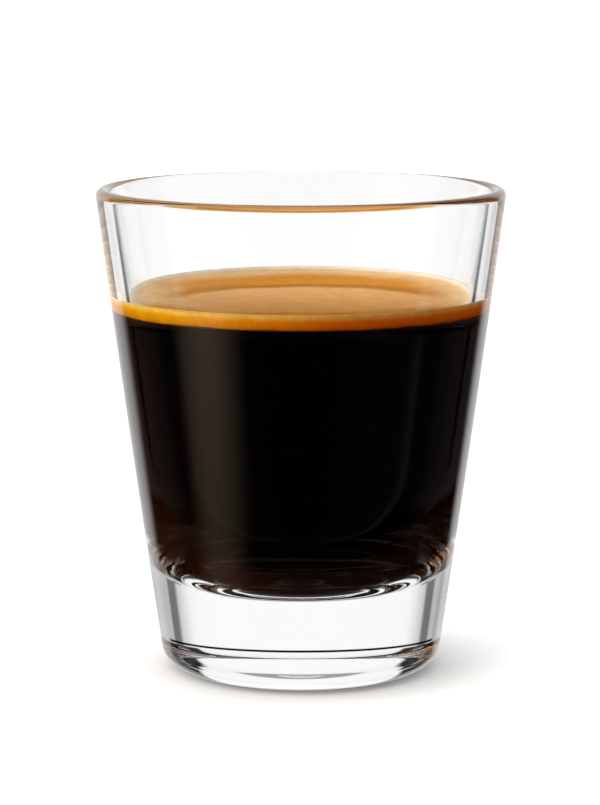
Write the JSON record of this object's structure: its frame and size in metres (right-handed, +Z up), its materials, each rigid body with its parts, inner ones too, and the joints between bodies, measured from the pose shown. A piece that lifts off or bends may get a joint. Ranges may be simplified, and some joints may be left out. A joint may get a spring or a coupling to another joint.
{
  "type": "glass of lungo",
  "caption": "Tapered clear glass with a thick foot, filled with long black coffee under a layer of tan crema.",
  "frame": {"origin": "on the table, under the middle of the glass's foot", "axes": "+Z up along the glass's axis of turning; X and Y lie in the table's plane, and the glass is round, so their directions are free"},
  "size_m": [0.0732, 0.0732, 0.0869],
  "materials": {
    "clear_glass": "clear colourless soda-lime glass, smooth and glossy, with fire-polished lip",
    "black_coffee": "nearly black coffee, dark brown at thin edges, wet and glossy",
    "hazel_crema": "fine hazel to tan foam, darker orange at the side, with faint rings and specks on top"
  },
  "bodies": {
    "root": {"glass": "clear_glass", "coffee": "black_coffee", "crema": "hazel_crema"}
  },
  "joints": []
}
